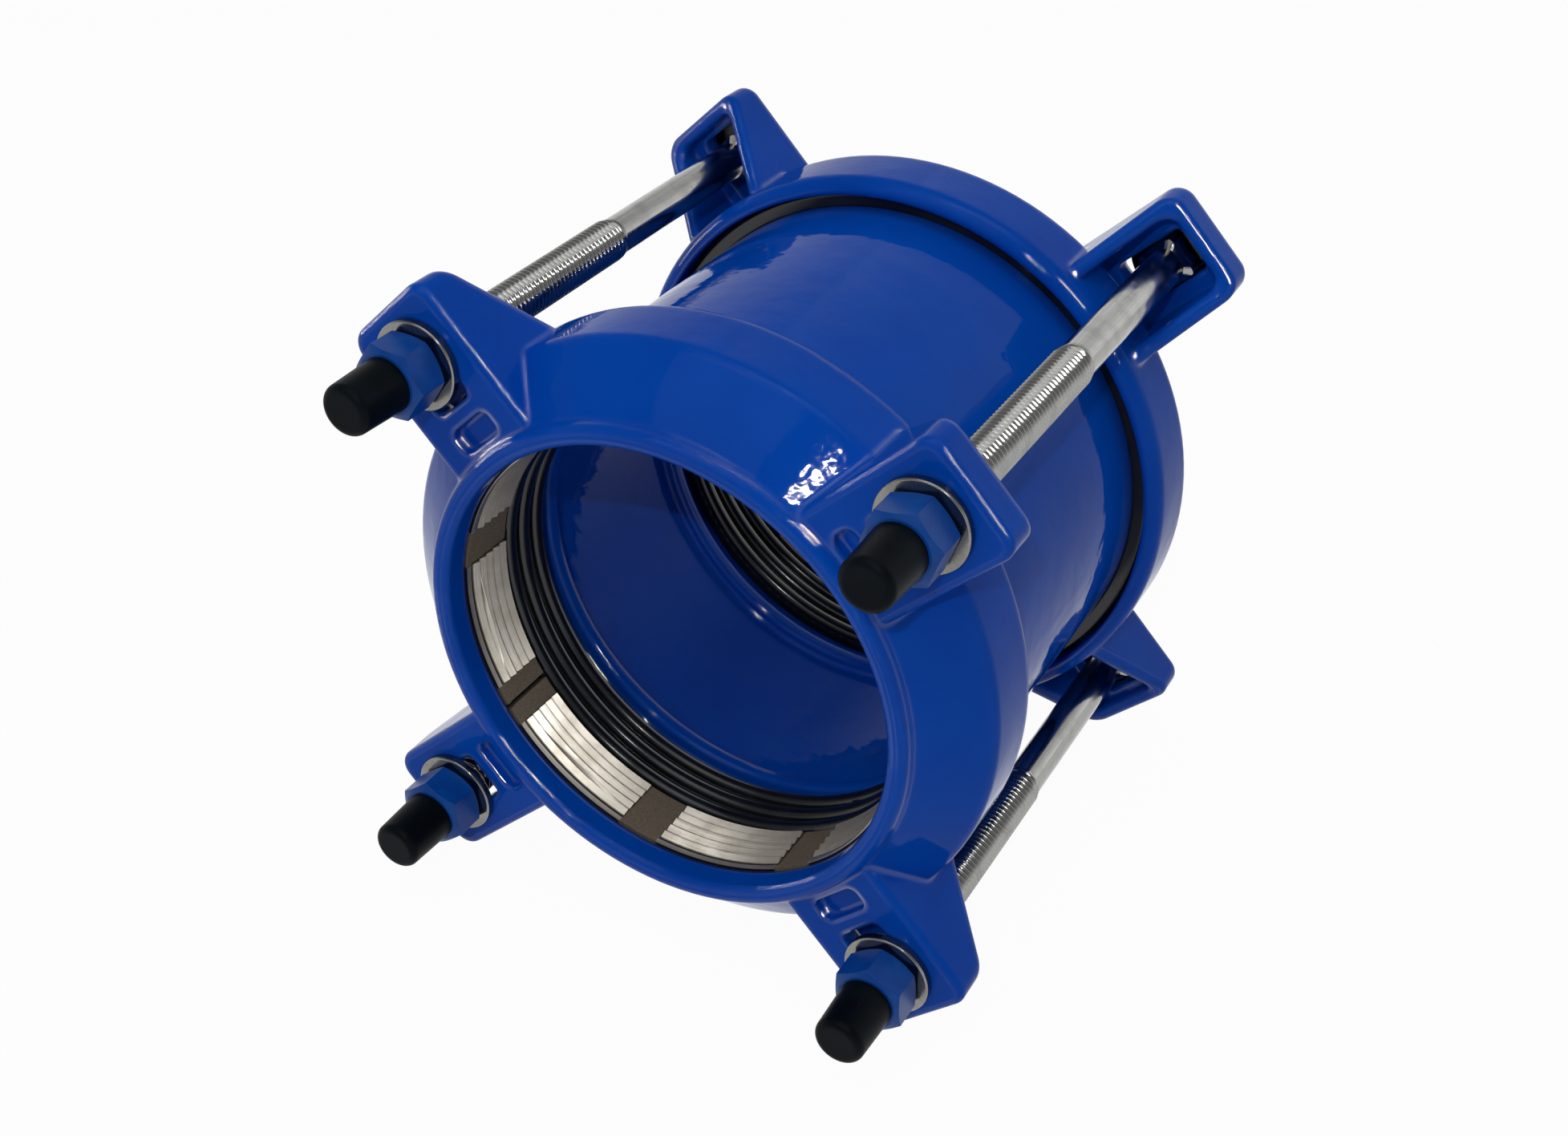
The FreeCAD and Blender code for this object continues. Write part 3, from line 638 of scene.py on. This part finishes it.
class COUPLING_OT_gaskets(bpy.types.Operator):
    """Gives the gaskets their satin black rubber"""

    bl_idname = "coupling.gaskets"
    bl_label = "Finish Gaskets"

    def execute(self, context):
        look = context.scene.coupling_dark
        rubber = satin_dark(
            "black_rubber",
            look.rubber,
            roughness=0.2,
            gloss=0.5,
            scale=1400.0,
            depth=0.00002,
            softening=0.0005,
        )
        dress([f"{end}_gasket" for end in ENDS], rubber)
        return {"FINISHED"}


class COUPLING_OT_grip_rings(bpy.types.Operator):
    """Gives the grip rings their cut brass lands, grooves painted dark as shade, and cast pads"""

    bl_idname = "coupling.grip_rings"
    bl_label = "Finish Grip Rings"

    def execute(self, context):
        for end in ENDS:
            dress([f"{end}_grip_ring"], grip_brass(context.scene.coupling_metal, end))
        return {"FINISHED"}


class COUPLING_OT_bolts(bpy.types.Operator):
    """Builds the bolts with their helical threads in place of the plain ones"""

    bl_idname = "coupling.bolts"
    bl_label = "Thread Bolts"

    def execute(self, context):
        sizes = context.scene.coupling_bolts
        steel = rolled_steel(context.scene.coupling_metal)
        for i in FASTENERS:
            low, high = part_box(f"bolt_{i}")
            data = bolt_mesh(f"threaded_bolt_{i}", sizes)
            data.materials.append(steel)
            piece = bpy.data.objects.new(f"threaded_bolt_{i}", data)
            context.scene.collection.objects.link(piece)
            centre = (low + high) / 2
            lean = math.atan2(centre.z, centre.x)
            turn = Matrix.Rotation(-lean, 4, "Y")
            data.transform(Matrix.Translation((centre.x, low.y, centre.z)) @ turn)
            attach(piece, "rear")
            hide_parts(f"bolt_{i}")
        return {"FINISHED"}


class COUPLING_OT_washers(bpy.types.Operator):
    """Gives the washers their bright zinc"""

    bl_idname = "coupling.washers"
    bl_label = "Finish Washers"

    def execute(self, context):
        dress([f"washer_{i}" for i in FASTENERS], washer_zinc(context.scene.coupling_metal))
        return {"FINISHED"}


class COUPLING_OT_nuts(bpy.types.Operator):
    """Gives the nuts their satin blue coating"""

    bl_idname = "coupling.nuts"
    bl_label = "Coat Nuts"

    def execute(self, context):
        dress([f"nut_{i}" for i in FASTENERS], satin_coating(context.scene.coupling_metal))
        return {"FINISHED"}


class COUPLING_OT_caps(bpy.types.Operator):
    """Gives the caps their matt black plastic"""

    bl_idname = "coupling.caps"
    bl_label = "Finish Caps"

    def execute(self, context):
        look = context.scene.coupling_dark
        plastic = satin_dark(
            "black_plastic",
            look.plastic,
            roughness=0.42,
            gloss=0.05,
            scale=2300.0,
            depth=0.00002,
            softening=0.0008,
        )
        dress([f"cap_{i}" for i in FASTENERS], plastic)
        return {"FINISHED"}


# Each lamp: name, the pieces that it lights (None for all), direction from the coupling,
# distance, size and watts.
LAMPS = (
    ("overhead_box", None, (0.05, -0.1, 1.0), 1.2, (1.2, 0.8), 2.8),
    ("window_box", None, (0.3, 0.8, 0.5), 1.6, (2.4, 1.4), 2.9),
    ("front_box", None, (-0.2, -0.65, 0.75), 1.0, (0.6, 0.6), 1.2),
    ("flash_box", None, (0.27, -0.73, 0.63), 0.9, (0.03, 0.008), 1.2),
    ("overhead_strip", "castings", (0.05, -0.1, 1.0), 1.2, (0.6, 0.06), 24.0),
    ("left_strip", "castings", (-0.97, -0.17, 0.12), 1.1, (0.06, 0.5), 7.0),
    ("right_strip", "castings", (0.7, -0.38, 0.62), 1.1, (0.05, 0.6), 50.0),
    ("spark", "castings", (0.27, -0.73, 0.63), 0.9, (0.022, 0.006), 3.0),
    ("thread_box", "bolts", (0.43, -0.22, 0.88), 1.2, (0.3, 0.4), 3.5),
    ("side_box", "grips", (0.72, -0.26, 0.64), 1.2, (0.5, 1.1), 13.0),
    ("top_box", "grips", (-0.55, -0.3, 0.8), 1.2, (0.7, 0.5), 3.0),
)


def aim(place):
    """Matrix of a lamp at a place that looks at the coupling."""
    turn = (-place).to_track_quat("-Z", "Y")
    return Matrix.Translation(place) @ turn.to_matrix().to_4x4()


def camera_matrix(azimuth, elevation, roll, distance, across, upward):
    """The camera's place: angles in degrees, distance, and shifts across and upward."""
    a, e, r = (math.radians(v) for v in (azimuth, elevation, roll))
    back = Vector((math.sin(a) * math.cos(e), -math.cos(a) * math.cos(e), math.sin(e)))
    right = (-back).cross(Vector((0.0, 0.0, 1.0))).normalized()
    upright = right.cross(-back)
    side = math.cos(r) * right + math.sin(r) * upright
    top = -math.sin(r) * right + math.cos(r) * upright
    spot = back * distance + side * across + top * upward
    turn = Matrix((side, top, back)).transposed().to_4x4()
    return Matrix.Translation(spot) @ turn


CAMERA_MATRIX = camera_matrix(
    azimuth=28.2898,
    elevation=34.4093,
    roll=1.7752,
    distance=0.54296,
    across=-0.007903,
    upward=-0.011799,
)


class COUPLING_OT_stage(bpy.types.Operator):
    """Lays the floor and sets the room, the lamps and the camera"""

    bl_idname = "coupling.stage"
    bl_label = "Set Stage"

    def execute(self, context):
        look = context.scene.coupling_studio
        self.lay_floor(context, look)
        self.set_room(context, look)
        self.hang_boxes(context)
        self.set_camera(context, look)
        return {"FINISHED"}

    def lay_floor(self, context, look):
        level = CAD_BOX[0].z - FLOOR_DROP
        corners = ((-1, -1), (1, -1), (1, 1), (-1, 1))
        mesh = bmesh.new()
        mesh.faces.new(
            [mesh.verts.new((FLOOR_REACH * x, FLOOR_REACH * y, level)) for x, y in corners]
        )
        data = bpy.data.meshes.new("floor")
        mesh.to_mesh(data)
        mesh.free()
        material, f = new_finish("pale_floor")
        cloth = f.node("BsdfDiffuse", None, {"Color": rgba(look.floor)})
        glow = f.node("Emission", None, {"Color": WHITE, "Strength": 1.0})
        f.end(f.node("MixShader", None, {0: FLOOR_GLOW * f.seen(), 1: cloth, 2: glow}))
        data.materials.append(material)
        floor = bpy.data.objects.new("floor", data)
        context.scene.collection.objects.link(floor)

    def set_room(self, context, look):
        world = bpy.data.worlds.new("room")
        world.use_nodes = True
        context.scene.world = world
        f = Finish(world.node_tree)
        direction = f.node("TexCoord", output=0)
        _, back, up = f.parts(direction)
        high = (1.0 - f.rays()[0]) * f.ease(up - ROOM_LEAN * back, 0.0, ROOM_RISE)
        room = f.blend(high, WHITE, shade(WHITE[:3], look.ceiling))
        shown = f.blend(f.seen(), shade(WHITE[:3], look.dome), room)
        light = f.node("Background", None, {"Color": shown, "Strength": 1.0})
        f.node("OutputWorld", None, {"Surface": light})

    def hang_boxes(self, context):
        pieces = {
            "castings": [NODES[name] for name in CASTINGS],
            "grips": [NODES[name] for name in GRIPS],
            "bolts": [bpy.data.objects[f"threaded_bolt_{i}"] for i in FASTENERS],
        }
        groups = {name: bpy.data.collections.new(name) for name in pieces}
        for name, group in groups.items():
            for piece in pieces[name]:
                group.objects.link(piece)
        for name, lit, toward, distance, size, watts in LAMPS:
            lamp = bpy.data.lights.new(name, "AREA")
            lamp.shape = "RECTANGLE"
            lamp.size, lamp.size_y = size
            lamp.energy = watts
            box = bpy.data.objects.new(name, lamp)
            box.matrix_world = aim(distance * Vector(toward).normalized())
            if lit:
                box.visible_diffuse = False
                box.light_linking.receiver_collection = groups[lit]
            context.scene.collection.objects.link(box)

    def set_camera(self, context, look):
        data = bpy.data.cameras.new("camera")
        data.sensor_fit = "HORIZONTAL"
        data.sensor_width = 36.0
        data.lens = look.lens
        data.clip_start = 0.01
        camera = bpy.data.objects.new("camera", data)
        camera.matrix_world = CAMERA_MATRIX
        context.scene.collection.objects.link(camera)
        context.scene.camera = camera
        context.scene.view_settings.view_transform = "Standard"


class COUPLING_PT_panel(bpy.types.Panel):
    """Lists the pieces of the coupling and their looks."""

    bl_idname = "COUPLING_PT_panel"
    bl_label = "Pipe Coupling"
    bl_space_type = "VIEW_3D"
    bl_region_type = "UI"
    bl_category = "Coupling"

    def draw(self, context):
        layout = self.layout
        for operator in OPERATORS:
            layout.operator(operator.bl_idname)
        for owner, group in GROUPS.items():
            box = layout.box()
            settings = getattr(context.scene, owner)
            for key in group.__annotations__:
                box.prop(settings, key)


OPERATORS = (
    COUPLING_OT_castings,
    COUPLING_OT_gaskets,
    COUPLING_OT_grip_rings,
    COUPLING_OT_bolts,
    COUPLING_OT_washers,
    COUPLING_OT_nuts,
    COUPLING_OT_caps,
    COUPLING_OT_stage,
)
GROUPS = {
    "coupling_bolts": BoltSizes,
    "coupling_paint": PaintLook,
    "coupling_metal": MetalLook,
    "coupling_dark": DarkLook,
    "coupling_studio": StudioLook,
}


def register():
    for group in GROUPS.values():
        bpy.utils.register_class(group)
    for owner, group in GROUPS.items():
        setattr(bpy.types.Scene, owner, bpy.props.PointerProperty(type=group))
    for operator in OPERATORS:
        bpy.utils.register_class(operator)
    bpy.utils.register_class(COUPLING_PT_panel)


def unregister():
    bpy.utils.unregister_class(COUPLING_PT_panel)
    for operator in reversed(OPERATORS):
        bpy.utils.unregister_class(operator)
    for owner, group in reversed(GROUPS.items()):
        delattr(bpy.types.Scene, owner)
        bpy.utils.unregister_class(group)


def main():
    register()
    bpy.ops.coupling.castings()
    bpy.ops.coupling.gaskets()
    bpy.ops.coupling.grip_rings()
    bpy.ops.coupling.bolts()
    bpy.ops.coupling.washers()
    bpy.ops.coupling.nuts()
    bpy.ops.coupling.caps()
    bpy.ops.coupling.stage()


if __name__ == "__main__":
    main()
